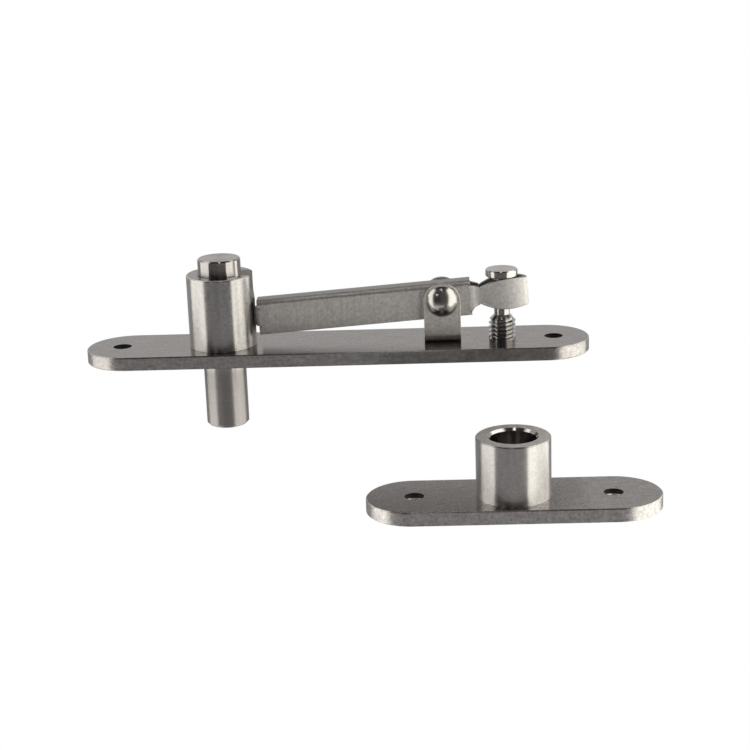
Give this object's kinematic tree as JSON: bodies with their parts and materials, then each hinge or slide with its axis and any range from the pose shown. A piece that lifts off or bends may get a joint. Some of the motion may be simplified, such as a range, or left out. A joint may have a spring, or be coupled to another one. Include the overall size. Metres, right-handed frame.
{
  "type": "pivot hinge",
  "caption": "Retractable pivot hinge for a swing door: plate with housing, sliding pin, rocking lever and adjusting screw, and a socket plate for the door.",
  "frame": {"origin": "midway between the frame plate's two screw holes, on the face that seats against the door frame", "axes": "+X along the frame plate from the pivot pin towards the adjusting screw, +Z out of the seat face, into the door frame"},
  "size_m": [0.166, 0.074, 0.0625],
  "materials": {
    "plate_steel": "stainless plate, brushed along its length",
    "turned_steel": "stainless bar, turned",
    "sheet_steel": "stainless sheet, folded, satin",
    "polished_steel": "stainless rivet, polished"
  },
  "bodies": {
    "frame_half": {"frame_plate": "plate_steel", "pin_housing": "turned_steel", "lever_bracket": "sheet_steel", "bracket_rivet": "plate_steel", "lever_rivet": "polished_steel"},
    "pin": {"pivot_pin": "turned_steel"},
    "rocker": {"lever": "sheet_steel"},
    "screw": {"adjusting_screw": "turned_steel"},
    "door_half": {"door_plate": "plate_steel", "socket_boss": "turned_steel"}
  },
  "joints": [
    {"name": "pin_retract", "type": "slide", "parent": "frame_half", "child": "pin", "axis": [0, 0, 1], "range_m": [0, 0.0206]},
    {"name": "lever_rock", "type": "hinge", "parent": "frame_half", "child": "rocker", "pos_m": [0.0316, 0, 0.01245], "axis": [0, 1, 0], "range_deg": [0, 18.1]},
    {"name": "screw_travel", "type": "slide", "parent": "frame_half", "child": "screw", "axis": [0, 0, 1], "range_m": [-0.00556, 0]},
    {"name": "door_swing", "type": "hinge", "parent": "frame_half", "child": "door_half", "pos_m": [0.05, -0.048, -0.026], "axis": [0, 0, 1], "continuous": true}
  ],
  "couplings": [
    {"joint": "lever_rock", "follows": "pin_retract", "rad_per_m": 15.33},
    {"joint": "screw_travel", "follows": "pin_retract", "ratio": -0.2698}
  ]
}
